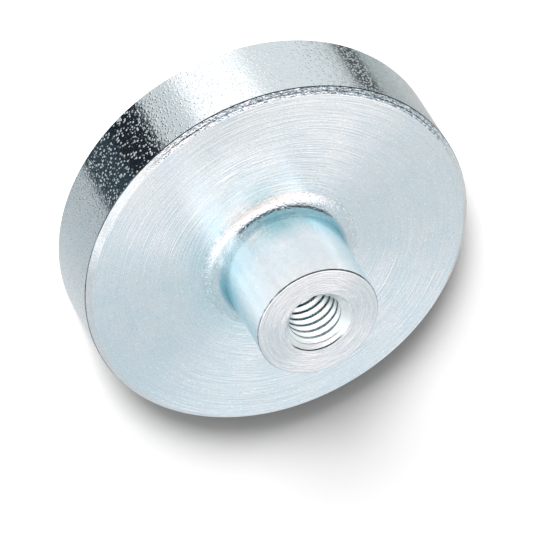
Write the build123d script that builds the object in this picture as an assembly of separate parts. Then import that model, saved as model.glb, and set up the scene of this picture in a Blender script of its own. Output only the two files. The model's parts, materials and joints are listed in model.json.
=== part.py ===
from build123d import *
import os
from math import radians, tan

# A flat round pot magnet with a tapped boss on its back, in millimetres.
# It stands on its magnetic face: the origin is the centre of that face, and +Z runs up through
# the pot, the boss and the tapped hole.

# Steel pot and boss, formed and turned from one piece
pot_diameter = 32.0
pot_height = 7.0  # magnetic face to back face
boss_diameter = 10.0
boss_projection = 8.5  # back face to boss end
boss_root_radius = 1.5  # flare where the boss grows out of the back face
back_edge_chamfer = 0.5
rim_edge_chamfer = 0.2  # outer edge of the magnetic face
boss_edge_chamfer = 0.1

# Cup that holds the magnet, open at the magnetic face
wall_thickness = 2.0
cup_corner_chamfer = 0.4  # inside corner, wall to floor
cup_mouth_chamfer = 0.15

# Blind tapped hole down the boss, M5 x 0.8, at its tapping size
thread_diameter = 5.0
thread_pitch = 0.8
countersink_overhang = 0.5  # countersink mouth over the thread's diameter
countersink_angle = 90.0
drill_point_angle = 118.0
drill_web = 0.9  # steel left between the drill's point and the cup's floor

# Disc magnet, bedded on the cup's floor
magnet_thickness = 4.0
magnet_recess = 0.1  # magnet's face below the rim, so that the rim takes the knocks
magnet_edge_chamfer = 0.3

# Cast resin ring that bonds the magnet into the cup
resin_width = 1.0
resin_recess = 0.45  # resin's edge below the rim
resin_sag = 0.15  # hollow of the cured surface between its two edges

# Places that follow from the sizes above
pot_radius = pot_diameter / 2
boss_radius = boss_diameter / 2
boss_end = pot_height + boss_projection
cup_radius = pot_radius - wall_thickness
cup_depth = magnet_thickness + magnet_recess
magnet_radius = cup_radius - resin_width
drill_radius = (thread_diameter - thread_pitch) / 2
countersink_radius = (thread_diameter + countersink_overhang) / 2
countersink_depth = (countersink_radius - drill_radius) / tan(radians(countersink_angle / 2))
drill_point = drill_radius / tan(radians(drill_point_angle / 2))
drill_bottom = cup_depth + drill_web + drill_point  # height of the hole's last full diameter


def turned(half_section):
    """Solid of revolution about Z, from a closed outline given as (radius, height)."""
    return revolve(Plane.XZ * make_face(half_section), Axis.Z)


def ring_edges(solid, radius, height):
    """The solid's circular edges of one radius at one height."""
    circles = solid.edges().filter_by(GeomType.CIRCLE)
    return circles.filter_by(
        lambda edge: abs(edge.radius - radius) < 1e-4 and abs(edge.arc_center.Z - height) < 1e-4
    )


def pot_blank():
    """Outer form: a low disc whose back flares into the boss."""
    outline = Polyline(
        (0, 0),
        (pot_radius, 0),
        (pot_radius, pot_height),
        (boss_radius, pot_height),
        (boss_radius, boss_end),
        (0, boss_end),
        close=True,
    )
    blank = turned(outline)
    blank = fillet(ring_edges(blank, boss_radius, pot_height), boss_root_radius)
    blank = chamfer(ring_edges(blank, pot_radius, pot_height), back_edge_chamfer)
    blank = chamfer(ring_edges(blank, pot_radius, 0), rim_edge_chamfer)
    return chamfer(ring_edges(blank, boss_radius, boss_end), boss_edge_chamfer)


def magnet_cup():
    """Space hollowed out of the pot from its magnetic face, with a bevelled corner at its floor."""
    outline = Polyline((0, 0), (cup_radius, 0), (cup_radius, cup_depth), (0, cup_depth), close=True)
    cup = turned(outline)
    return chamfer(ring_edges(cup, cup_radius, cup_depth), cup_corner_chamfer)


def tapped_hole():
    """Space of the blind hole: countersink, tapping drill's wall and the cone its point leaves."""
    outline = Polyline(
        (0, boss_end),
        (countersink_radius, boss_end),
        (drill_radius, boss_end - countersink_depth),
        (drill_radius, drill_bottom),
        (0, drill_bottom - drill_point),
        close=True,
    )
    return turned(outline)


def steel_pot():
    """Pot and boss in one piece of steel."""
    pot = pot_blank() - magnet_cup() - tapped_hole()
    return chamfer(ring_edges(pot, cup_radius, 0), cup_mouth_chamfer)


def magnet_disc():
    """Flat disc magnet with broken edges, face to face with the cup's floor."""
    outline = Polyline(
        (0, magnet_recess),
        (magnet_radius, magnet_recess),
        (magnet_radius, cup_depth),
        (0, cup_depth),
        close=True,
    )
    disc = turned(outline)
    both_edges = ring_edges(disc, magnet_radius, magnet_recess) + ring_edges(disc, magnet_radius, cup_depth)
    return chamfer(both_edges, magnet_edge_chamfer)


def resin_ring():
    """Cured resin between the magnet and the wall, run in under the magnet's edge, hollow on top."""
    surface = ThreePointArc(
        (magnet_radius, resin_recess),
        (magnet_radius + resin_width / 2, resin_recess + resin_sag),
        (cup_radius, resin_recess),
    )
    bed = Polyline(
        (cup_radius, resin_recess),
        (cup_radius, cup_depth),
        (magnet_radius - magnet_edge_chamfer, cup_depth),
        (magnet_radius, cup_depth - magnet_edge_chamfer),
        (magnet_radius, resin_recess),
    )
    ring = turned([surface, bed])
    return chamfer(ring_edges(ring, cup_radius, cup_depth), cup_corner_chamfer)


nodes = {
    "steel_pot": steel_pot(),
    "magnet_disc": magnet_disc(),
    "resin_ring": resin_ring(),
}

os.makedirs("parts", exist_ok=True)
for name, solid in nodes.items():
    export_step(solid, f"parts/{name}.step")
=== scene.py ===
import json
import math
import bpy
import numpy as np
from mathutils import Matrix, Vector


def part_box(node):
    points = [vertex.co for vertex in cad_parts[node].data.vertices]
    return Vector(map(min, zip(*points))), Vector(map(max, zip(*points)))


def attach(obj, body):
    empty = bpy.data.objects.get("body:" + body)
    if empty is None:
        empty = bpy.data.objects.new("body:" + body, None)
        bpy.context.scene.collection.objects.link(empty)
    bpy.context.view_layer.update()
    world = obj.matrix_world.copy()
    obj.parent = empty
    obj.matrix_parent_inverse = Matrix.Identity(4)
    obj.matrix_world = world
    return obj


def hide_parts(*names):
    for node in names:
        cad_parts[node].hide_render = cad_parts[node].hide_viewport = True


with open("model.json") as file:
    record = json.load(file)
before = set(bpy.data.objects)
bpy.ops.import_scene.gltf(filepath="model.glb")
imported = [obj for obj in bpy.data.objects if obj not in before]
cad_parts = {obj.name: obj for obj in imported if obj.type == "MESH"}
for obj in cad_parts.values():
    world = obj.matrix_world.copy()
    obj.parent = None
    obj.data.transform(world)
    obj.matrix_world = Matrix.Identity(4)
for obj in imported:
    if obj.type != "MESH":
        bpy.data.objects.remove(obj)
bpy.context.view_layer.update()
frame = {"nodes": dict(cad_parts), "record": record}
print("frame loaded:", sorted(frame["nodes"]))

mm = 0.001
tiny = 1e-6  # tolerance in metres
mounts = {m["name"]: m for m in frame["record"]["mounts"]}

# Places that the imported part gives, in metres
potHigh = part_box("steel_pot")[1]
magnetLow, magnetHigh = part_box("magnet_disc")
resinLow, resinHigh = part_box("resin_ring")
potRadius = potHigh.x
bossEnd = potHigh.z
backFace = mounts["back_face"]["pos_m"][2]
cupRadius = resinHigh.x
cupFloor = magnetHigh.z
magnetRadius = magnetHigh.x
drillRadius = mounts["boss_thread"]["dims"]["r_mm"] * mm
drillWall = mounts["boss_thread"]["dims"]["length_mm"] * mm


# Turned surfaces: an outline carried round the Z axis

# Line through (radius, height, rounding, finish, rows) corners; a sixth entry is a finish for the arc alone.
# Each rounded corner becomes an arc that touches both of its lines, with a row just before and after it that
# keeps the flats flat, and each straight stretch is cut into its number of rows. Returns the points and the
# finish of each band.
def roundedOutline(corners, steps=5, hold=0.02 * mm, arcStep=0.08 * mm):
    points, finishes = [], []

    def addStretch(target, finish, rows):
        here = points[-1]
        for share in np.linspace(0, 1, rows + 1)[1:]:
            points.append(here + (target - here) * share)
            finishes.append(finish)

    points.append(np.array(corners[0][:2], float))
    for i in range(1, len(corners)):
        corner = np.array(corners[i][:2], float)
        rounding = corners[i][2]
        arcFinish = corners[i][-1] if len(corners[i]) > 5 else corners[i][3]
        finish, rows = corners[i - 1][3:5]
        if rounding == 0 or i == len(corners) - 1:
            addStretch(corner, finish, rows)
            continue
        back = np.array(corners[i - 1][:2], float) - corner
        ahead = np.array(corners[i + 1][:2], float) - corner
        back /= np.linalg.norm(back)
        ahead /= np.linalg.norm(ahead)
        half = math.acos(back @ ahead) / 2
        reach = rounding / math.tan(half)
        addStretch(corner + back * (reach + hold), finish, rows)
        addStretch(corner + back * reach, finish, 1)
        centre = corner + (back + ahead) / np.linalg.norm(back + ahead) * rounding / math.sin(half)
        first, last = points[-1] - centre, corner + ahead * reach - centre
        sweep = math.pi - 2 * half
        arcSteps = max(steps, round(rounding / arcStep))
        for t in np.linspace(0, 1, arcSteps + 1)[1:]:
            spoke = (first * math.sin((1 - t) * sweep) + last * math.sin(t * sweep)) / math.sin(sweep)
            points.append(centre + spoke)
            finishes.append(arcFinish)
        addStretch(points[-1] + ahead * hold, corners[i][3], 1)
    return np.array(points), finishes


# Carries the outline round Z: point (row, column) lies at the row's radius and height, turned by the
# column's angle. radiusOf may change the radius by (radius, height, angle). A row of no radius is a pole.
def turnedPiece(name, outline, finishes, materials, columns=192, radiusOf=None):
    angle = np.linspace(0, 2 * math.pi, columns, endpoint=False)[None]
    radius = np.repeat(outline[:, :1], columns, 1)
    height = np.repeat(outline[:, 1:], columns, 1)
    if radiusOf:
        radius = radiusOf(radius, height, angle)
    grid = np.stack([radius * np.cos(angle), radius * np.sin(angle), height], -1)
    rows = np.arange(len(outline))
    numbers = (rows[:, None] * columns + np.arange(columns)[None]).astype(int)
    for end in (0, -1):
        if outline[end, 0] < tiny * mm:
            numbers[end] = numbers[end, 0]
    following = np.roll(numbers, -1, 1)
    quads = np.stack([numbers[:-1], following[:-1], following[1:], numbers[1:]], -1).reshape(-1, 4)
    slotNames = list(dict.fromkeys(finishes))
    slotOf = np.repeat([slotNames.index(f) for f in finishes], columns)
    # A corner that repeats the next one is left out, so that a band that ends in a pole is a fan of triangles
    kept = quads != np.roll(quads, -1, 1)
    used, corners = np.unique(quads[kept], return_inverse=True)
    starts = np.cumsum(kept.sum(1)) - kept.sum(1)
    mesh = bpy.data.meshes.new(name)
    mesh.vertices.add(len(used))
    mesh.vertices.foreach_set("co", grid.reshape(-1, 3)[used].astype(np.float32).ravel())
    mesh.loops.add(len(corners))
    mesh.loops.foreach_set("vertex_index", corners.astype(np.int32).ravel())
    mesh.polygons.add(len(quads))
    mesh.polygons.foreach_set("loop_start", starts.astype(np.int32))
    for slotName in slotNames:
        mesh.materials.append(materials[slotName])
    mesh.polygons.foreach_set("material_index", slotOf.astype(np.int32))
    mesh.polygons.foreach_set("use_smooth", np.ones(len(mesh.polygons), bool))
    mesh.update(calc_edges=True)
    piece = bpy.data.objects.new(name, mesh)
    bpy.context.scene.collection.objects.link(piece)
    return piece


# Shader building

def addNode(tree, kind, inputs=None, **settings):
    made = tree.nodes.new(kind)
    for key, value in settings.items():
        setattr(made, key, value)
    for key, value in (inputs or {}).items():
        if isinstance(value, bpy.types.NodeSocket):
            tree.links.new(value, made.inputs[key])
        else:
            made.inputs[key].default_value = value
    return made


def addMath(tree, operation, first, second=0.0, clamp=False):
    inputs = {0: first, 1: second}
    return addNode(tree, "ShaderNodeMath", inputs, operation=operation, use_clamp=clamp).outputs[0]


def multiply(tree, first, second):
    return addMath(tree, "MULTIPLY", first, second)


def objectPlace(tree):
    return addNode(tree, "ShaderNodeTexCoord").outputs["Object"]


def heightOf(tree, place):
    return addNode(tree, "ShaderNodeSeparateXYZ", {0: place}).outputs["Z"]


def dotProduct(tree, first, second):
    inputs = {0: first, 1: second}
    return addNode(tree, "ShaderNodeVectorMath", inputs, operation="DOT_PRODUCT").outputs["Value"]


def addNoise(tree, place, scale, detail):
    inputs = {"Vector": place, "Scale": scale, "Detail": detail}
    return addNode(tree, "ShaderNodeTexNoise", inputs).outputs[0]


# 0 below low, 1 above high and an even S between them.
def smoothBetween(tree, value, low, high):
    inputs = {"Value": value, "From Min": low, "From Max": high}
    return addNode(tree, "ShaderNodeMapRange", inputs, interpolation_type="SMOOTHSTEP").outputs["Result"]


# The mix node has its two numbers in sockets 2 and 3, and its two colours in 6 and 7.
def mixNumber(tree, share, first, second):
    inputs = {"Factor": share, 2: first, 3: second}
    return addNode(tree, "ShaderNodeMix", inputs, data_type="FLOAT").outputs[0]


def mixColour(tree, share, first, second, blend="MIX"):
    inputs = {"Factor": share, 6: first, 7: second}
    return addNode(tree, "ShaderNodeMix", inputs, data_type="RGBA", blend_type=blend).outputs[2]


# Vector from the Z axis to the point, level with it.
def awayFromAxis(tree, place):
    parts = addNode(tree, "ShaderNodeSeparateXYZ", {0: place}).outputs
    return addNode(tree, "ShaderNodeCombineXYZ", {"X": parts["X"], "Y": parts["Y"]}).outputs[0]


def lengthOf(tree, vector):
    return addNode(tree, "ShaderNodeVectorMath", {0: vector}, operation="LENGTH").outputs["Value"]


def newGroup(name, inputs, outputs):
    group = bpy.data.node_groups.new(name, "ShaderNodeTree")
    for socketName, kind, value in inputs:
        socket = group.interface.new_socket(socketName, in_out="INPUT", socket_type="NodeSocket" + kind)
        socket.default_value = value
    for socketName, kind in outputs:
        group.interface.new_socket(socketName, in_out="OUTPUT", socket_type="NodeSocket" + kind)
    return group, group.nodes.new("NodeGroupInput").outputs, group.nodes.new("NodeGroupOutput").inputs


def useGroup(tree, group, **inputs):
    inputs = {key.replace("_", " "): value for key, value in inputs.items()}
    return addNode(tree, "ShaderNodeGroup", inputs, node_tree=group).outputs


# Fine grooves round the Z axis, from sets of noise that change fast with the radius and slowly round the
# turn, so that a groove is an arc that fades in and out. Folding the noise about its middle gives the
# grooves their V. Each set has its rate across the grooves, its rate round the turn and its depth. The
# height comes in metres, and the slope share tells how far a step up the wall counts as a step across.
grooveSets = ((1.0, 1.3, 1.5), (0.5, 1.0, 1.3), (0.2, 0.8, 1.6))
shadeGain = 1.6


def turningMarksGroup():
    inputs = [
        ("Depth um", "Float", 1.0),
        ("Grooves per mm", "Float", 6.0),
        ("Arcs per turn", "Float", 2.0),
        ("Slope share", "Float", 0.0),
    ]
    group, given, result = newGroup("turningMarks", inputs, [("Height", "Float"), ("Shade", "Float")])
    place = objectPlace(group)
    flat = awayFromAxis(group, place)
    spoke = addNode(group, "ShaderNodeVectorMath", {0: flat}, operation="NORMALIZE").outputs["Vector"]
    around = addNode(group, "ShaderNodeSeparateXYZ", {0: spoke}).outputs
    climb = multiply(group, heightOf(group, place), given["Slope share"])
    across = addMath(group, "ADD", lengthOf(group, flat), climb)
    acrossMm = multiply(group, across, 1 / mm)
    total = shade = None
    for rate, arcRate, depth in grooveSets:
        arcs = multiply(group, given["Arcs per turn"], arcRate)
        inputs = {
            "X": multiply(group, acrossMm, multiply(group, given["Grooves per mm"], rate)),
            "Y": multiply(group, around["X"], arcs),
            "Z": multiply(group, around["Y"], arcs),
        }
        seed = addNode(group, "ShaderNodeCombineXYZ", inputs).outputs[0]
        offMiddle = addMath(group, "SUBTRACT", addNoise(group, seed, 1.0, 1.0), 0.5)
        part = multiply(group, addMath(group, "ABSOLUTE", offMiddle), depth)
        total = addMath(group, "ADD", total, part) if total else part
        streak = multiply(group, offMiddle, rate)
        shade = addMath(group, "ADD", shade, streak) if shade else streak
    depthInMetres = multiply(group, given["Depth um"], 1e-6)
    group.links.new(multiply(group, total, depthInMetres), result["Height"])
    shade = addMath(group, "ADD", multiply(group, shade, shadeGain), 0.5, clamp=True)
    group.links.new(shade, result["Shade"])
    return group


# Small domes of differing height scattered on a smooth wall, one in each cell of a Voronoi pattern, as wide
# as a share of the cell; the lowest is a fifth as high as the difference between them.
def pebbleGroup():
    inputs = [("Domes per mm", "Float", 6.0), ("Dome share", "Float", 0.35)]
    group, given, result = newGroup("pebbledSkin", inputs, [("Height", "Float")])
    scale = multiply(group, given["Domes per mm"], 1 / mm)
    cells = addNode(group, "ShaderNodeTexVoronoi", {"Vector": objectPlace(group), "Scale": scale}).outputs
    dome = smoothBetween(group, cells["Distance"], given["Dome share"], 0.0)
    chance = addNode(group, "ShaderNodeSeparateXYZ", {0: cells["Color"]}).outputs["X"]
    group.links.new(multiply(group, dome, addMath(group, "ADD", chance, 0.2)), result["Height"])
    return group


# Share of a side round the Z axis: from 0 to 1 as the point's direction nears the given one, between two
# cosines of the angle between them.
def sideShareGroup():
    inputs = [
        ("Toward", "Vector", (1.0, 0.0, 0.0)),
        ("From cosine", "Float", 0.7),
        ("To cosine", "Float", 1.0),
    ]
    group, given, result = newGroup("sideShare", inputs, [("Share", "Float")])
    flat = awayFromAxis(group, objectPlace(group))
    spoke = addNode(group, "ShaderNodeVectorMath", {0: flat}, operation="NORMALIZE").outputs["Vector"]
    cosine = dotProduct(group, spoke, given["Toward"])
    group.links.new(smoothBetween(group, cosine, given["From cosine"], given["To cosine"]), result["Share"])
    return group


turningMarks, pebbledSkin, sideShare = turningMarksGroup(), pebbleGroup(), sideShareGroup()


# A side is given as its direction and the cosines at the start and the end of the fade.
def shareOfSide(tree, side):
    toward, start, end = side
    return useGroup(tree, sideShare, Toward=toward, From_cosine=start, To_cosine=end)["Share"]


def newMaterial(name, metallic=1.0):
    material = bpy.data.materials.new(name)
    material.use_nodes = True
    bsdf = material.node_tree.nodes["Principled BSDF"].inputs
    bsdf["Metallic"].default_value = metallic
    return material, material.node_tree, bsdf


# Colour and roughness between the two that the look gives, by the share of the second.
def setBetween(tree, bsdf, share, look):
    tree.links.new(mixColour(tree, share, *look["colours"]), bsdf["Base Color"])
    first, second = look["roughness"]
    inputs = {"Value": share, "To Min": first, "To Max": second}
    tree.links.new(addNode(tree, "ShaderNodeMapRange", inputs).outputs["Result"], bsdf["Roughness"])


def addBump(tree, bsdf, height, distance=1.0):
    bump = addNode(tree, "ShaderNodeBump", {"Height": height, "Distance": distance, "Strength": 1.0})
    tree.links.new(bump.outputs[0], bsdf["Normal"])


# Steel pot with its boss and tapped hole, one closed surface in many finishes. Sizes are in metres, groove
# depths in thousandths of a millimetre, colours linear. A side is a direction and the cosines between which
# it fades.

pot = {
    "backBevel": 0.5 * mm,
    "rimBevel": 0.2 * mm,
    "flare": 1.5 * mm,
    "mouthBevel": 0.15 * mm,
    "cupCorner": 0.4 * mm,
    "edgeRounding": 0.05 * mm,
    "cutRounding": 0.01 * mm,
    "rimEdgeDrop": 0.018 * mm,
    "rimEdgeWidth": 0.055 * mm,
    "ledgeOuter": 0.27 * mm,
    "ledgeInner": 0.315 * mm,
    "ledgeStep": 0.02 * mm,
    "ledgeReach": 0.45 * mm,
    "bossRadius": 5.0 * mm,
    "bossEdgeDrop": 0.14 * mm,
    "bossEdgeWidth": 0.104 * mm,
    "bossEdgeRounding": 0.11 * mm,
    "swell": 0.04 * mm,
    "swellLength": 2.4 * mm,
    "swellSpread": 0.75 * mm,
    "countersinkRadius": 2.75 * mm,
    "lipWidth": 0.06 * mm,
    "lipDrop": 0.08 * mm,
    "threadRadius": 2.46 * mm,
    "threadPitch": 0.8 * mm,
    "threadLength": 8.0 * mm,
    "threadRunout": 1.4 * mm,
    "threadStart": -0.14,
    "threadFlank": 40,
    "drillPoint": 118,
    "rowsPerPitch": 20,
    # Front sides with the painted dark reflection of the bevel, its ledge and the rim's edge; the ledge's
    # shape also follows the first
    "pepperedSide": ((-0.616, -0.788, 0), 0.82, 0.5),
    "darkEdgeSide": ((0.07, -1.0, 0), 0.1, -0.3),
    "film": {
        "pale": (0.72, 0.795, 0.825, 1),
        "blue": (0.625, 0.755, 0.822, 1),
        # Deep colours of the painted shade at the root of the boss, all round and in front
        "pooled": (0.29, 0.67, 0.78, 1),
        "frontPooled": (0.27, 0.53, 0.61, 1),
        # Colour of the painted highlight near the boss in front and up the boss
        "dry": (0.9, 0.85, 0.83, 1),
        "patchesPerMm": 0.5,
        "patchSpan": (0.1, 0.9),
        "blueDrift": (0.68, 0.73, 0.0),
        "driftShare": 0.3,
        # Painted shade at the root: its climb in front, fade, start and two lighter sides
        "frontSide": ((-0.2, -0.98, 0.0), 0.75, 1.0),
        "frontClimb": (0.2, 0.82),
        "rootFadeStart": 0.38,
        "poolStart": (0.35, 0.95),
        "drySide": ((0.56, -0.83, 0.0), 0.7, 1.0),
        "dryShare": 0.8,
        "streakSide": ((-0.74, -0.67, 0.0), 0.85, 1.0),
        "streakRise": (1.8, 3.0),
        "streakShare": (0.35, 0.3),
        # Painted highlight on the face near the boss in front
        "haloFade": (8.0 * mm, 6.2 * mm),
        "haloTop": (0.35, 0.1),
        # Painted shade spread over the face on one side
        "spreadSide": ((0.99, 0.14, 0.0), 0.3, 1.0),
        "spreadFade": (8.8 * mm, 7.0 * mm),
        "spreadTop": (0.6, 0.2),
        "spreadShare": 0.2,
        # Painted highlight up the boss
        "topRise": (5.5, 8.3),
        "topShare": 0.35,
        # Pale flecks are painted glints, dark flecks random tone
        "flecksPerMm": 7.0,
        "fleckEdge": (0.5, 0.15),
        "paleChance": (0.7, 0.95),
        "darkChance": (0.3, 0.05),
    },
    "turned": {
        "anisotropic": 0.0,
        "slopeShare": 0.0,
        "arcsPerTurn": 2.0,
        "domesPerMm": 8.0,
        "domeShare": 0.5,
        "domeHeight": 3e-6,
        "calmedHeight": 0.75,
        "calmedShade": 0.85,
    },
    "back": {
        "roughness": 0.24,
        "anisotropic": 0.85,
        "groovesPerMm": 12.0,
        "grooveDepth": 19.0,
        "markDark": (0.965, 0.965, 0.965, 1),
        "markPale": (1.03, 1.03, 1.03, 1),
        "flecks": (0.22, 0.18),
    },
    # Dark grains, a painted dark reflection on the front side, and a paler, warmer tint elsewhere
    "bevel": {
        "roughness": 0.16,
        "groovesPerMm": 6.0,
        "grooveDepth": 24.0,
        "markDark": (0.22, 0.24, 0.3, 1),
        "markPale": (1.36, 1.36, 1.36, 1),
        "calm": (1.09, 0.99, 0.955, 1),
        "slopeShare": -1.0,
        "domeHeight": 30e-6,
        "arcsPerTurn": 40.0,
        "domesPerMm": 4.5,
        "roughSide": "pepperedSide",
    },
    # Painted dark reflection along the rim's edge on the front side
    "rimEdge": {
        "roughness": 0.2,
        "groovesPerMm": 3.0,
        "grooveDepth": 6.0,
        "markDark": (0.05, 0.06, 0.07, 1),
        "markPale": (0.4, 0.42, 0.44, 1),
        "calm": (1.0, 1.0, 1.0, 1),
        "slopeShare": -1.0,
        "arcsPerTurn": 16.0,
        "roughSide": "darkEdgeSide",
    },
    # Dark dashes, a painted dark reflection on the front side
    "ledge": {
        "roughness": 0.16,
        "groovesPerMm": 2.0,
        "grooveDepth": 2.0,
        "markDark": (0.1, 0.12, 0.14, 1),
        "markPale": (1.1, 1.1, 1.1, 1),
        "calm": (1.09, 0.99, 0.955, 1),
        "slopeShare": -1.0,
        "domeHeight": 26e-6,
        "arcsPerTurn": 42.0,
        "domesPerMm": 4.5,
        "roughSide": "pepperedSide",
    },
    "flareFinish": {
        "roughness": 0.14,
        "groovesPerMm": 9.0,
        "grooveDepth": 7.0,
        "markDark": (0.82, 0.83, 0.84, 1),
        "markPale": (1.03, 1.03, 1.03, 1),
        "slopeShare": -1.0,
        "domeHeight": 20e-6,
        "arcsPerTurn": 12.0,
        "domesPerMm": 4.5,
        # Height of the painted root shade, in millimetres
        "rootHeight": 4.2,
        "fromBack": (0.12 * mm, 0.4 * mm),
    },
    "boss": {
        "roughness": 0.12,
        "ripplesPerMm": 2.2,
        "rippleDepth": 1.2e-6,
        # Height of the painted root shade, in millimetres
        "rootHeight": 4.2,
        "edgeTint": (0.8, 0.93, 0.96, 1),
        "blue": (0.72, 0.8, 0.835, 1),
        "pale": (0.765, 0.815, 0.835, 1),
    },
    "burr": {
        "roughness": 0.2,
        "groovesPerMm": 4.0,
        "grooveDepth": 6.0,
        "markDark": (0.12, 0.13, 0.15, 1),
        "markPale": (0.9, 0.9, 0.9, 1),
        "slopeShare": -1.0,
        "domeHeight": 14e-6,
        "arcsPerTurn": 10.0,
        "domesPerMm": 4.5,
    },
    "bossEnd": {
        "roughness": 0.27,
        "anisotropic": 0.62,
        "groovesPerMm": 9.0,
        "grooveDepth": 24.0,
        "markDark": (0.875, 0.895, 0.91, 1),
        "markPale": (1.05, 1.065, 1.08, 1),
        "domeHeight": 6e-6,
    },
    "mouthEdge": {
        "roughness": 0.2,
        "bright": (0.8, 0.86, 0.88, 1),
        # Painted shade along the edge on one side
        "worn": (0.12, 0.13, 0.14, 1),
        "wornSide": ((0.47, 0.88, 0), 0.5, 0.85),
    },
    # Countersink: marks mostly paler than the film, a painted highlight
    "countersink": {
        "roughness": 0.42,
        "groovesPerMm": 9.0,
        "grooveDepth": 4.0,
        "markDark": (0.98, 1.0, 1.0, 1),
        "markPale": (1.14, 1.14, 1.12, 1),
        "slopeShare": 1.0,
    },
    # Painted shade on the crests, deep in the hole and near the mouth, and a painted highlight in the grooves
    "thread": {
        "roughness": 0.3,
        "deepCrest": (0.03, 0.36, 0.54, 1),
        "highCrest": (0.55, 0.75, 0.8, 1),
        "groove": (0.86, 0.9, 0.91, 1),
        "grooveFade": (0.01 * mm, 0.07 * mm),
        "crestFade": (4.0 * mm, 0.8 * mm),
        # Crests painted lit on one side
        "rubbedSide": ((0.9, 0.43, 0), 1.0, 0.3),
    },
    "side": {
        "roughness": 0.11,
        "domesPerMm": 4.3,
        "domeShare": 0.47,
        "domeHeight": 43e-6,
        "grainPerMm": 4.5,
        "grainDepth": 8e-6,
        "rubbedSide": ((-0.3, -0.95, 0), 0.8, 1.0),
        "rubbedShare": 0.55,
        "flecks": (0.22, 0.3),
    },
}


# Passivation film: slow drifts of the plate's colour, and a painted shade, a deeper colour, in the corner at
# the root of the boss, by the height over the back face and the distance from the boss. The painted shade
# climbs higher in front, is painted lighter on two sides and spreads over the face on one side. A painted
# highlight pales the face near the boss in front and the boss towards its top. Pairs of heights are in
# millimetres over the back face.
def filmAndPaintedLightGroup():
    look = pot["film"]
    inputs = [
        ("Pale", "Color", look["pale"]),
        ("Blue", "Color", look["blue"]),
        ("Root height mm", "Float", 0.001),
        ("Pale fleck", "Float", 0.15),
        ("Dark fleck", "Float", 0.1),
    ]
    group, given, result = newGroup("filmTint", inputs, [("Colour", "Color")])
    place = objectPlace(group)
    drift = multiply(group, dotProduct(group, place, look["blueDrift"]), look["driftShare"] / potRadius)
    noise = addNoise(group, place, look["patchesPerMm"] / mm, 3.0)
    share = smoothBetween(group, addMath(group, "SUBTRACT", noise, drift), *look["patchSpan"])
    plate = mixColour(group, share, given["Blue"], given["Pale"])

    # Painted shade at the root of the boss
    overFace = multiply(group, addMath(group, "SUBTRACT", heightOf(group, place), backFace), 1 / mm)
    radius = lengthOf(group, awayFromAxis(group, place))
    inFront = shareOfSide(group, look["frontSide"])
    gain, least = look["frontClimb"]
    climb = addMath(group, "ADD", multiply(group, inFront, gain), least)
    fadeStart = multiply(group, given["Root height mm"], look["rootFadeStart"])
    faded = smoothBetween(group, multiply(group, overFace, climb), fadeStart, given["Root height mm"])
    rootShare = addMath(group, "SUBTRACT", 1.0, faded)
    dry = multiply(group, shareOfSide(group, look["drySide"]), look["dryShare"])
    shadeLeft = addMath(group, "SUBTRACT", 1.0, dry)
    gain, least = look["streakShare"]
    rise = multiply(group, smoothBetween(group, overFace, *look["streakRise"]), gain)
    streak = multiply(group, shareOfSide(group, look["streakSide"]), addMath(group, "ADD", rise, least))
    shadeLeft = addMath(group, "SUBTRACT", shadeLeft, streak)
    pooled = multiply(group, rootShare, smoothBetween(group, overFace, *look["poolStart"]))
    pooled = multiply(group, pooled, shadeLeft)
    nearBoss = multiply(group, smoothBetween(group, radius, *look["spreadFade"]), look["spreadShare"])
    nearBoss = multiply(group, nearBoss, smoothBetween(group, overFace, *look["spreadTop"]))
    spread = multiply(group, shareOfSide(group, look["spreadSide"]), nearBoss)
    pooled = addMath(group, "MAXIMUM", pooled, spread)

    # Painted highlight on the face near the boss in front and up the boss
    nearBoss = smoothBetween(group, radius, *look["haloFade"])
    halo = multiply(group, nearBoss, smoothBetween(group, overFace, *look["haloTop"]))
    halo = multiply(group, halo, inFront)
    top = multiply(group, smoothBetween(group, overFace, *look["topRise"]), look["topShare"])
    paintedLight = mixColour(group, addMath(group, "MAXIMUM", halo, top), plate, look["dry"])
    deep = mixColour(group, inFront, look["pooled"], look["frontPooled"])
    final = mixColour(group, pooled, paintedLight, deep)

    # Pale flecks are painted glints; dark flecks are random tone.
    cellInputs = {"Vector": place, "Scale": look["flecksPerMm"] / mm}
    cells = addNode(group, "ShaderNodeTexVoronoi", cellInputs).outputs
    dot = smoothBetween(group, cells["Distance"], *look["fleckEdge"])
    chance = addNode(group, "ShaderNodeSeparateXYZ", {0: cells["Color"]}).outputs["X"]
    gain = multiply(group, smoothBetween(group, chance, *look["paleChance"]), given["Pale fleck"])
    loss = multiply(group, smoothBetween(group, chance, *look["darkChance"]), given["Dark fleck"])
    level = addMath(group, "ADD", multiply(group, dot, addMath(group, "SUBTRACT", gain, loss)), 1.0)
    flecked = addNode(group, "ShaderNodeVectorMath", {0: final, "Scale": level}, operation="SCALE")
    group.links.new(flecked.outputs[0], result["Colour"])
    return group


filmTint = filmAndPaintedLightGroup()


# Zinc under its film, which carries painted shade and painted highlights. Settings that the look doesn't name
# keep the film's own values.
def zincBase(name, look):
    material, tree, bsdf = newMaterial(name)
    bsdf["Specular Tint"].default_value = look.get("edgeTint", (1.0, 1.0, 1.0, 1))
    bsdf["Roughness"].default_value = look["roughness"]
    inputs = {}
    if "pale" in look:
        inputs.update(Pale=look["pale"], Blue=look["blue"])
    if "rootHeight" in look:
        inputs["Root_height_mm"] = look["rootHeight"]
    if "flecks" in look:
        inputs["Pale_fleck"], inputs["Dark_fleck"] = look["flecks"]
    colour = useGroup(tree, filmTint, **inputs)["Colour"]
    tree.links.new(colour, bsdf["Base Color"])
    return material, tree, bsdf, colour
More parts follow.
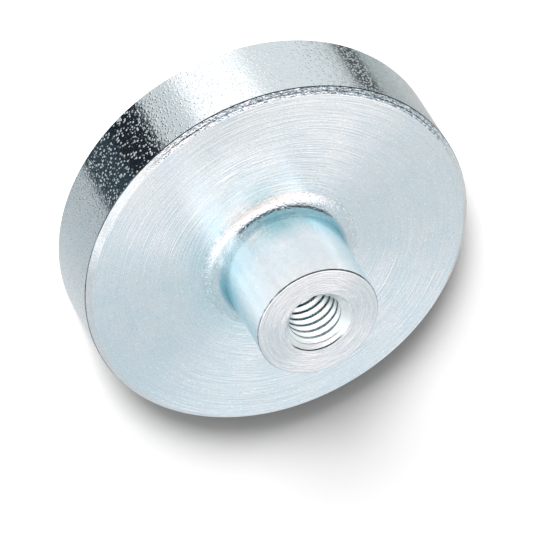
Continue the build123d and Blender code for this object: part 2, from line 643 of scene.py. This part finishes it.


# Turned zinc: dark and pale arcs over the film, grooves and small domes. On the bevel, its ledge and the
# rim's edge the dark arcs are strong, a painted dark reflection on the side towards the front. Away from that
# rough and dark side, if the look has one, both are calmed. Where it starts from the back's finish, it takes
# over between two heights.
def turnedZinc(name, ownLook):
    look = {**pot["turned"], **ownLook}
    material, tree, bsdf, film = zincBase(name, look)
    bsdf["Anisotropic"].default_value = look["anisotropic"]
    place = objectPlace(tree)
    tree.links.new(awayFromAxis(tree, place), bsdf["Tangent"])
    marks = useGroup(
        tree,
        turningMarks,
        Depth_um=look["grooveDepth"],
        Grooves_per_mm=look["groovesPerMm"],
        Slope_share=look["slopeShare"],
        Arcs_per_turn=look["arcsPerTurn"],
    )
    skin = useGroup(tree, pebbledSkin, Domes_per_mm=look["domesPerMm"], Dome_share=look["domeShare"])
    shade = mixColour(tree, marks["Shade"], look["markDark"], look["markPale"])
    height = addMath(tree, "ADD", marks["Height"], multiply(tree, skin["Height"], look["domeHeight"]))
    if "roughSide" in look:
        calm = shareOfSide(tree, pot[look["roughSide"]])
        left = addMath(tree, "SUBTRACT", 1.0, multiply(tree, calm, look["calmedHeight"]))
        height = multiply(tree, height, left)
        shade = mixColour(tree, multiply(tree, calm, look["calmedShade"]), shade, look["calm"])
    tree.links.new(mixColour(tree, 1.0, film, shade, blend="MULTIPLY"), bsdf["Base Color"])
    addBump(tree, bsdf, height)
    if "fromBack" in look:
        low, high = look["fromBack"]
        share = smoothBetween(tree, heightOf(tree, place), backFace + low, backFace + high)
        for key in ("roughness", "anisotropic"):
            tree.links.new(mixNumber(tree, share, pot["back"][key], look[key]), bsdf[key.capitalize()])
    return material


# Tumbled zinc: domes and grain on a smooth wall, rubbed flatter on one side.
def tumbledZinc(name, look):
    material, tree, bsdf, _ = zincBase(name, look)
    skin = useGroup(tree, pebbledSkin, Domes_per_mm=look["domesPerMm"], Dome_share=look["domeShare"])
    rubbed = multiply(tree, shareOfSide(tree, look["rubbedSide"]), look["rubbedShare"])
    left = addMath(tree, "SUBTRACT", 1.0, rubbed)
    domes = multiply(tree, multiply(tree, skin["Height"], left), look["domeHeight"])
    grain = addNoise(tree, objectPlace(tree), look["grainPerMm"] / mm, 2.0)
    addBump(tree, bsdf, addMath(tree, "ADD", domes, multiply(tree, grain, look["grainDepth"])))
    return material


def smoothZinc(name, look):
    material, tree, bsdf, _ = zincBase(name, look)
    ripple = addNoise(tree, objectPlace(tree), look["ripplesPerMm"] / mm, 2.0)
    addBump(tree, bsdf, ripple, distance=look["rippleDepth"])
    return material


# Tapped steel: painted shade along the crests, darker and bluer than the plate, and a painted highlight in
# the grooves, paler than the plate. The crests' painted shade lightens towards the mouth, by their depth
# under the boss's end, and on one side.
def threadZinc(name, look):
    material, tree, bsdf = newMaterial(name)
    bsdf["Roughness"].default_value = look["roughness"]
    place = objectPlace(tree)
    radius = lengthOf(tree, awayFromAxis(tree, place))
    start, end = look["grooveFade"]
    inGroove = smoothBetween(tree, radius, drillRadius + start, drillRadius + end)
    start, end = look["crestFade"]
    paintedLight = smoothBetween(tree, heightOf(tree, place), bossEnd - start, bossEnd - end)
    paintedLight = addMath(tree, "MAXIMUM", paintedLight, shareOfSide(tree, look["rubbedSide"]))
    crest = mixColour(tree, paintedLight, look["deepCrest"], look["highCrest"])
    tree.links.new(mixColour(tree, inGroove, crest, look["groove"]), bsdf["Base Color"])
    return material


# Sharp edge of the countersink, with painted shade on one side.
def mouthEdgeZinc(name, look):
    material, tree, bsdf = newMaterial(name)
    bsdf["Roughness"].default_value = look["roughness"]
    worn = shareOfSide(tree, look["wornSide"])
    tree.links.new(mixColour(tree, worn, look["bright"], look["worn"]), bsdf["Base Color"])
    return material


potFinishes = {
    "back": turnedZinc("turnedBack", pot["back"]),
    "bevel": turnedZinc("turnedBevel", pot["bevel"]),
    "rimEdge": turnedZinc("turnedRimEdge", pot["rimEdge"]),
    "ledge": turnedZinc("turnedLedge", pot["ledge"]),
    "flare": turnedZinc("turnedFlare", pot["flareFinish"]),
    "boss": smoothZinc("smoothBoss", pot["boss"]),
    "burr": turnedZinc("turnedBurr", pot["burr"]),
    "bossEnd": turnedZinc("turnedBossEnd", pot["bossEnd"]),
    "mouthEdge": mouthEdgeZinc("mouthEdgeZinc", pot["mouthEdge"]),
    "countersink": turnedZinc("turnedCountersink", pot["countersink"]),
    "thread": threadZinc("threadZinc", pot["thread"]),
    "side": tumbledZinc("tumbledZinc", pot["side"]),
}
print("pot finishes made:", len(potFinishes))


# Two changes to the turned outline. The flare dies out along the boss: above its round the radius shrinks as
# a parabola of the height. The ledge in the back bevel is there on the peppered side only: elsewhere its
# points move out to the bevel's cone.
def shapedRadius(radius, height, angle):
    bossRadius, flare, bevel = pot["bossRadius"], pot["flare"], pot["backBevel"]
    swellHigh = backFace + flare + pot["swellLength"]
    share = np.clip((swellHigh - height) / pot["swellLength"], 0, 1)
    onBoss = (height > backFace + tiny) & (radius > bossRadius - tiny) & (radius < bossRadius + flare)
    near = np.clip(1 - (radius - bossRadius) / pot["swellSpread"], 0, 1)
    swollen = np.where(onBoss, radius + pot["swell"] * share**2 * near, radius)
    (x, y, _), start, end = pot["pepperedSide"]
    calm = 1 - np.clip((x * np.cos(angle) + y * np.sin(angle) - end) / (start - end), 0, 1)
    cone = potRadius - bevel + backFace - height
    onBevel = (height > backFace - pot["ledgeReach"]) & (radius > cone + tiny) & (height < backFace - tiny)
    levelled = np.where(onBevel, radius + (cone - radius) * calm, swollen)
    return threadedRadius(levelled, height, angle)


# Cuts a right-hand thread into the hole: the groove's depth follows the phase, which is the height in
# pitches less the turn, as a V between flanks of the given angle, and it runs out at the bottom. The
# countersink's cone stays where it is wider than the thread.
def threadedRadius(radius, height, angle):
    low = bossEnd - pot["threadLength"]
    inHole = (height < bossEnd - tiny * mm) & (height > low) & (radius < pot["countersinkRadius"] + tiny * mm)
    phase = (height / pot["threadPitch"] - angle / (2 * math.pi) + pot["threadStart"]) % 1.0
    fromFloor = np.abs(phase - 0.5)
    depth = pot["threadRadius"] - drillRadius
    flank = depth * math.tan(math.radians(pot["threadFlank"])) / pot["threadPitch"]
    cut = np.clip((flank - fromFloor) / flank, 0, 1)
    fade = np.clip((height - low) / pot["threadRunout"], 0, 1)
    groove = drillRadius + depth * (cut + fade - 1).clip(0, 1)
    return np.where(inHole, np.maximum(radius, groove), radius)


# The corners run from the cup's floor round the rim, over the back and the boss and down into the hole.
def buildPot():
    r, e, p, cut = potRadius, pot["edgeRounding"], pot, pot["cutRounding"]
    sinkRadius, bossRadius, bevelLow = p["countersinkRadius"], p["bossRadius"], backFace - p["backBevel"]
    holeEdge = bossEnd - (sinkRadius - drillRadius)
    holeBottom = holeEdge - drillWall
    drillTip = holeBottom - drillRadius / math.tan(math.radians(p["drillPoint"] / 2))
    threadLow = bossEnd - p["threadLength"]
    threadRows = p["rowsPerPitch"] / p["threadPitch"]
    coneRows = round((bossEnd - holeEdge) * threadRows)
    wallRows = round((holeEdge - threadLow) * threadRows)
    edge, outer, inner = p["rimEdgeWidth"], p["ledgeOuter"], p["ledgeInner"]
    corners = [
        (0, cupFloor, 0, "side", 4),
        (cupRadius - p["cupCorner"], cupFloor, e, "side", 1),
        (cupRadius, cupFloor - p["cupCorner"], e, "side", 3),
        (cupRadius, p["mouthBevel"], e / 2, "back", 1),
        (cupRadius + p["mouthBevel"], 0, e / 2, "back", 4),
        (r - p["rimBevel"], 0, e, "side", 1),
        (r, p["rimBevel"], e, "side", 8),
        (r, bevelLow - p["rimEdgeDrop"], cut, "rimEdge", 1),
        (r - edge, bevelLow + edge, cut, "bevel", 3),
        (r - outer, bevelLow + outer, cut, "ledge", 1),
        (r - inner, bevelLow + inner + p["ledgeStep"], cut, "bevel", 2),
        (r - p["backBevel"], backFace, e, "back", 24),
        (bossRadius, backFace, p["flare"], "boss", 24, "flare"),
        (bossRadius, bossEnd - p["bossEdgeDrop"], e / 2, "burr", 1),
        (bossRadius - p["bossEdgeWidth"], bossEnd, p["bossEdgeRounding"], "bossEnd", 6),
        (sinkRadius, bossEnd, e / 2, "mouthEdge", 1),
        (sinkRadius - p["lipWidth"], bossEnd - p["lipDrop"], cut, "countersink", coneRows),
        (drillRadius, holeEdge, 0, "thread", wallRows),
        (drillRadius, threadLow, 0, "thread", 4),
        (drillRadius, holeBottom, 0, "thread", 4),
        (0, drillTip, 0, "thread", 1),
    ]
    outline, bands = roundedOutline(corners, steps=6)
    return turnedPiece("steelPot", outline, bands, potFinishes, radiusOf=shapedRadius)


steelPot = buildPot()
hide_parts("steel_pot")
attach(steelPot, "root")
print("pot built:", len(steelPot.data.polygons), "faces")


# Disc magnet: nickel on sintered magnet, with grinding scratches along X, a few plated-over pits, and drifts
# between dull plate, whose values come first, and bright plate

magnet = {
    "bevel": 0.3 * mm,
    "edgeRounding": 0.08 * mm,
    "colours": ((0.62, 0.6, 0.562, 1), (0.66, 0.635, 0.59, 1)),
    "roughness": (0.28, 0.2),
    "driftsPerMm": 0.35,
    "driftSpan": (0.35, 0.65),
    "scratchesPerMm": 9.0,
    "scratchStretch": (0.03, 1, 1),
    "scratchDepth": 5e-6,
    "pitsPerMm": 1.6,
    "pitShare": 0.12,
    "pitDepth": 9e-6,
}


def nickelPlate(name):
    material, tree, bsdf = newMaterial(name)
    place = objectPlace(tree)
    share = smoothBetween(tree, addNoise(tree, place, magnet["driftsPerMm"] / mm, 3.0), *magnet["driftSpan"])
    setBetween(tree, bsdf, share, magnet)
    inputs = {0: place, 1: magnet["scratchStretch"]}
    stretched = addNode(tree, "ShaderNodeVectorMath", inputs, operation="MULTIPLY").outputs[0]
    scratch = addNoise(tree, stretched, magnet["scratchesPerMm"] / mm, 2.0)
    pits = useGroup(tree, pebbledSkin, Domes_per_mm=magnet["pitsPerMm"], Dome_share=magnet["pitShare"])
    pitDepth = multiply(tree, pits["Height"], magnet["pitDepth"])
    addBump(tree, bsdf, addMath(tree, "SUBTRACT", multiply(tree, scratch, magnet["scratchDepth"]), pitDepth))
    return material


def buildMagnet():
    low, high, r, b, e = magnetLow.z, cupFloor, magnetRadius, magnet["bevel"], magnet["edgeRounding"]
    corners = [
        (0, low, 0, "nickel", 1),
        (r - b, low, e, "nickel", 8),
        (r, low + b, e, "nickel", 1),
        (r, high - b, e, "nickel", 3),
        (r - b, high, e, "nickel", 1),
        (0, high, 0, "nickel", 6),
    ]
    outline, bands = roundedOutline(corners)
    return turnedPiece("magnetDisc", outline, bands, {"nickel": nickelPlate("nickelPlate")})


# Resin ring: black potting resin with slow ripples and a few burst bubbles, clean, whose values come first,
# or dulled by dust

resin = {
    "sag": 0.15 * mm,
    "surfaceRows": 8,
    "colours": ((0.012, 0.012, 0.014, 1), (0.05, 0.05, 0.052, 1)),
    "roughness": (0.16, 0.4),
    "dustPerMm": 1.3,
    "dustSpan": (0.45, 0.72),
    "coatWeight": 0.3,
    "coatRoughness": 0.08,
    "ripplesPerMm": 0.8,
    "rippleDepth": 14e-6,
    "bubblesPerMm": 0.9,
    "bubbleShare": 0.2,
    "bubbleDepth": 60e-6,
}


def castResin(name):
    material, tree, bsdf = newMaterial(name, metallic=0.0)
    bsdf["Coat Weight"].default_value = resin["coatWeight"]
    bsdf["Coat Roughness"].default_value = resin["coatRoughness"]
    place = objectPlace(tree)
    share = smoothBetween(tree, addNoise(tree, place, resin["dustPerMm"] / mm, 6.0), *resin["dustSpan"])
    setBetween(tree, bsdf, share, resin)
    ripple = multiply(tree, addNoise(tree, place, resin["ripplesPerMm"] / mm, 2.0), resin["rippleDepth"])
    bubbles = useGroup(tree, pebbledSkin, Domes_per_mm=resin["bubblesPerMm"], Dome_share=resin["bubbleShare"])
    hollow = multiply(tree, bubbles["Height"], resin["bubbleDepth"])
    addBump(tree, bsdf, addMath(tree, "SUBTRACT", ripple, hollow))
    return material


# The surface between the two walls hangs as a shallow parabola.
def buildResin():
    top, rIn, rOut = resinLow.z, magnetRadius, cupRadius
    b, c = magnet["bevel"], pot["cupCorner"]
    share = np.linspace(0, 1, resin["surfaceRows"] + 1)
    surface = np.stack([rIn + (rOut - rIn) * share, top + resin["sag"] * 4 * share * (1 - share)], -1)
    walls = [(rOut, cupFloor - c), (rOut - c, cupFloor), (rIn - b, cupFloor), (rIn, cupFloor - b), (rIn, top)]
    outline = np.concatenate([surface, np.array(walls)])
    bands = ["resin"] * (len(outline) - 1)
    return turnedPiece("resinRing", outline, bands, {"resin": castResin("castResin")})


magnetDisc, resinRing = buildMagnet(), buildResin()
for piece, node, slotName in (
    (magnetDisc, "magnet_disc", "nickel_plated_magnet"),
    (resinRing, "resin_ring", "cast_resin"),
):
    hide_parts(node)
    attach(piece, "root")
print("magnet and resin built")


# Studio: white floor, lamps that light the floor, and what the metal mirrors. Angles are in degrees, azimuth
# from -Y towards +X and elevation up from the floor.

studio = {
    "floorSize": 6.0,
    "floorPale": 0.97,
    # Light that reaches the floor from all round, and off the metal
    "ambient": (0.132, 0.132, 0.132, 1),
    "offMetal": (1.48, 1.27, 1.19, 1),
    # Soft box from its top to its low end: name, azimuth, elevation, width and share of the floor's white
    "lamps": (
        ("keyHigh", -3.8, 38.2, 15.2, 0.247),
        ("keyLow", -5.1, 32.7, 16.9, 0.653),
    ),
    "surround": (0.80, 0.815, 0.825, 1),
    # Boards that the metal mirrors, each over the last: span of azimuth, span of elevation, how softly each
    # of the two fades, level and tint
    "boards": (
        ((-200, 200), (-95, -18), (8, 16), 0.80, (1.0, 1.0, 1.0)),
        ((-174, -150), (-80, -20), (8, 16), 0.66, (1.04, 0.99, 0.98)),
        ((174, 186), (-60, -20), (8, 16), 1.05, (1.0, 1.0, 1.0)),
        ((40, 118), (-95, -18), (80, 16), 0.60, (1.0, 1.0, 1.0)),
        ((-148, -98), (-95, -18), (60, 16), 0.52, (0.94, 1.0, 0.99)),
        ((-92, 14), (-80, -18), (50, 16), 0.92, (1.0, 1.0, 1.0)),
        ((-40, 0), (-80, -18), (12, 16), 1.35, (1.07, 1.0, 0.99)),
        ((3, 24), (-80, -18), (14, 16), 0.78, (1.0, 1.0, 1.0)),
        ((-117, -100), (-80, -18), (8, 16), 0.10, (1.0, 1.0, 1.0)),
        ((24, 74), (-80, -18), (3, 16), 0.065, (0.7, 1.0, 1.2)),
        ((24, 49), (-80, -18), (5, 16), 0.022, (0.9, 1.0, 1.35)),
        ((-116, 116), (44, 80), (64, 7), 2.3, (1.12, 1.0, 0.97)),
        ((-120, 38), (-22, 43), (20, 8), 0.92, (1.0, 1.0, 1.0)),
        ((36, 88), (-22, 43), (12, 8), 1.3, (1.0, 1.0, 1.0)),
        ((26, 68), (44, 64), (16, 7), 1.66, (1.19, 1.02, 0.99)),
        ((66, 74), (-22, 28), (8, 10), 0.8, (1.0, 1.0, 1.0)),
        ((76, 88), (44, 64), (10, 7), 1.62, (1.0, 1.0, 1.0)),
        ((-106, -88), (43, 70), (8, 8), 2.7, (1.04, 1.0, 0.99)),
    ),
    # Round boxes overhead: azimuth and elevation of the middle, half width, fade, level and tint
    "overheads": (
        ((-90, 83), 35, 8, 1.58, (1.17, 1.0, 0.97)),
        ((0, 90), 20, 13, 1.05, (1.05, 1.0, 0.98)),
    ),
    # Blue glow and the dark bar over it, as rings round one direction: angles from it, their fade, the
    # fade of the ends, level and tint. A second reflection sees less of them.
    "barPole": (-17, -61),
    "barSpan": (-118, 36),
    "barLost": 0.7,
    "bars": (
        ((70, 86), 8, 44, 0.76, (0.76, 1.0, 1.08)),
        ((83, 97), 4, 14, 0.02, (0.6, 1.0, 1.3)),
    ),
}


def directionOf(azimuth, elevation):
    a, e = math.radians(azimuth), math.radians(elevation)
    return Vector((math.sin(a) * math.cos(e), -math.cos(a) * math.cos(e), math.sin(e)))


# 1 inside the span and 0 outside it, fading evenly over the soft width centred on each edge.
def withinSpan(tree, value, span, soft, turns=False):
    middle, half = (span[0] + span[1]) / 2, (span[1] - span[0]) / 2
    offset = addMath(tree, "SUBTRACT", value, middle)
    if turns:
        inputs = {0: offset, 1: 180.0, 2: -180.0}
        offset = addNode(tree, "ShaderNodeMath", inputs, operation="WRAP").outputs[0]
    return smoothBetween(tree, addMath(tree, "ABSOLUTE", offset), half + soft / 2, half - soft / 2)


# Angle in degrees between the ray and a direction.
def angleFrom(tree, way, toward):
    cosine = dotProduct(tree, way, directionOf(*toward))
    return addMath(tree, "DEGREES", addMath(tree, "ARCCOSINE", cosine))


def lay(tree, colour, mask, level, tint):
    return mixColour(tree, mask, colour, tuple(level * t for t in tint) + (1,))


def mirroredColour(tree, way, glossyDepth):
    parts = addNode(tree, "ShaderNodeSeparateXYZ", {0: way}).outputs
    front = multiply(tree, parts["Y"], -1.0)
    azimuth = addMath(tree, "DEGREES", addMath(tree, "ARCTAN2", parts["X"], front))
    elevation = addMath(tree, "DEGREES", addMath(tree, "ARCSINE", parts["Z"]))
    colour = studio["surround"]
    for aroundSpan, upSpan, (softAround, softUp), level, tint in studio["boards"]:
        around = withinSpan(tree, azimuth, aroundSpan, softAround, turns=True)
        mask = multiply(tree, around, withinSpan(tree, elevation, upSpan, softUp))
        colour = lay(tree, colour, mask, level, tint)
    for toward, halfWidth, soft, level, tint in studio["overheads"]:
        fromMiddle = angleFrom(tree, way, toward)
        mask = smoothBetween(tree, fromMiddle, halfWidth + soft / 2, halfWidth - soft / 2)
        colour = lay(tree, colour, mask, level, tint)
    fromPole = angleFrom(tree, way, studio["barPole"])
    again = addMath(tree, "GREATER_THAN", glossyDepth, 1.5)
    left = addMath(tree, "SUBTRACT", 1.0, multiply(tree, again, studio["barLost"]))
    for span, soft, endSoft, level, tint in studio["bars"]:
        around = withinSpan(tree, azimuth, studio["barSpan"], endSoft, turns=True)
        mask = multiply(tree, multiply(tree, around, left), withinSpan(tree, fromPole, span, soft))
        colour = lay(tree, colour, mask, level, tint)
    return colour


# The camera sees white, the metal sees the boards, and the floor is lit evenly, by another level where the
# light comes off the metal.
def buildWorld():
    world = bpy.data.worlds.new("studio")
    world.use_nodes = True
    world.cycles.sampling_method = "NONE"
    bpy.context.scene.world = world
    tree = world.node_tree
    tree.nodes.clear()
    rays = addNode(tree, "ShaderNodeLightPath").outputs
    way = addNode(tree, "ShaderNodeTexCoord").outputs["Generated"]
    colours = {
        "seen": (1, 1, 1, 1),
        "mirrored": mirroredColour(tree, way, rays["Glossy Depth"]),
        "ambient": mixColour(tree, rays["Is Glossy Ray"], studio["ambient"], studio["offMetal"]),
    }
    lights = {}
    for name, colour in colours.items():
        inputs = {"Color": colour, "Strength": 1.0}
        lights[name] = addNode(tree, "ShaderNodeBackground", inputs).outputs[0]
    offFloor = addMath(tree, "GREATER_THAN", rays["Diffuse Depth"], 0.5)
    fromMetal = addMath(tree, "SUBTRACT", rays["Is Glossy Ray"], offFloor, clamp=True)
    inputs = {0: fromMetal, 1: lights["ambient"], 2: lights["mirrored"]}
    lit = addNode(tree, "ShaderNodeMixShader", inputs).outputs[0]
    straight = addMath(tree, "MAXIMUM", rays["Is Camera Ray"], rays["Is Transmission Ray"])
    last = addNode(tree, "ShaderNodeMixShader", {0: straight, 1: lit, 2: lights["seen"]}).outputs[0]
    addNode(tree, "ShaderNodeOutputWorld", {"Surface": last})


# White on top and clear from below, so that the underside can be looked at.
def buildFloor():
    half = studio["floorSize"] / 2
    corners = [(-half, -half, 0), (half, -half, 0), (half, half, 0), (-half, half, 0)]
    mesh = bpy.data.meshes.new("studioFloor")
    mesh.from_pydata(corners, [], [(0, 1, 2, 3)])
    floor = bpy.data.objects.new("studioFloor", mesh)
    bpy.context.scene.collection.objects.link(floor)
    material = bpy.data.materials.new("floorPaper")
    material.use_nodes = True
    tree = material.node_tree
    tree.nodes.clear()
    paper = addNode(tree, "ShaderNodeBsdfDiffuse", {"Color": (studio["floorPale"],) * 3 + (1,)}).outputs[0]
    clear = addNode(tree, "ShaderNodeBsdfTransparent").outputs[0]
    under = addNode(tree, "ShaderNodeNewGeometry").outputs["Backfacing"]
    mixed = addNode(tree, "ShaderNodeMixShader", {0: under, 1: paper, 2: clear}).outputs[0]
    addNode(tree, "ShaderNodeOutputMaterial", {"Surface": mixed})
    mesh.materials.append(material)
    floor.visible_glossy = False


def buildLamps():
    for name, azimuth, elevation, width, floorShare in studio["lamps"]:
        light = bpy.data.lights.new(name, "SUN")
        facing = math.sin(math.radians(elevation))
        light.energy = floorShare * math.pi / (facing * studio["floorPale"])
        light.angle = math.radians(width)
        key = bpy.data.objects.new(name, light)
        key.rotation_mode = "QUATERNION"
        key.rotation_quaternion = directionOf(azimuth, elevation).to_track_quat("Z", "Y")
        key.visible_glossy = False
        bpy.context.scene.collection.objects.link(key)


# Camera: looks down on the boss from the front, turned about its own axis

camera = {
    "lens": 383.5,
    "sensorWidth": 36,
    "elevation": 47.093,
    "roll": -149.07,
    "distance": 451.3 * mm,
    "aim": Vector((1.135, 0.541, 7.0)) * mm,
    "clip": (10 * mm, 20),
}


def buildCamera():
    back = directionOf(0, camera["elevation"])
    levelRight = Vector((1, 0, 0))
    levelUp = back.cross(levelRight)
    roll = math.radians(camera["roll"])
    up = levelUp * math.cos(roll) + levelRight * math.sin(roll)
    right = up.cross(back)
    turn = Matrix((right, up, back)).transposed()
    data = bpy.data.cameras.new("camera")
    data.lens = camera["lens"]
    data.sensor_width = camera["sensorWidth"]
    data.clip_start, data.clip_end = camera["clip"]
    eye = bpy.data.objects.new("camera", data)
    eye.matrix_world = Matrix.Translation(camera["aim"] + back * camera["distance"]) @ turn.to_4x4()
    bpy.context.scene.collection.objects.link(eye)
    bpy.context.scene.camera = eye


buildWorld()
buildFloor()
buildLamps()
buildCamera()
bpy.context.scene.view_settings.view_transform = "Standard"
print("studio built")
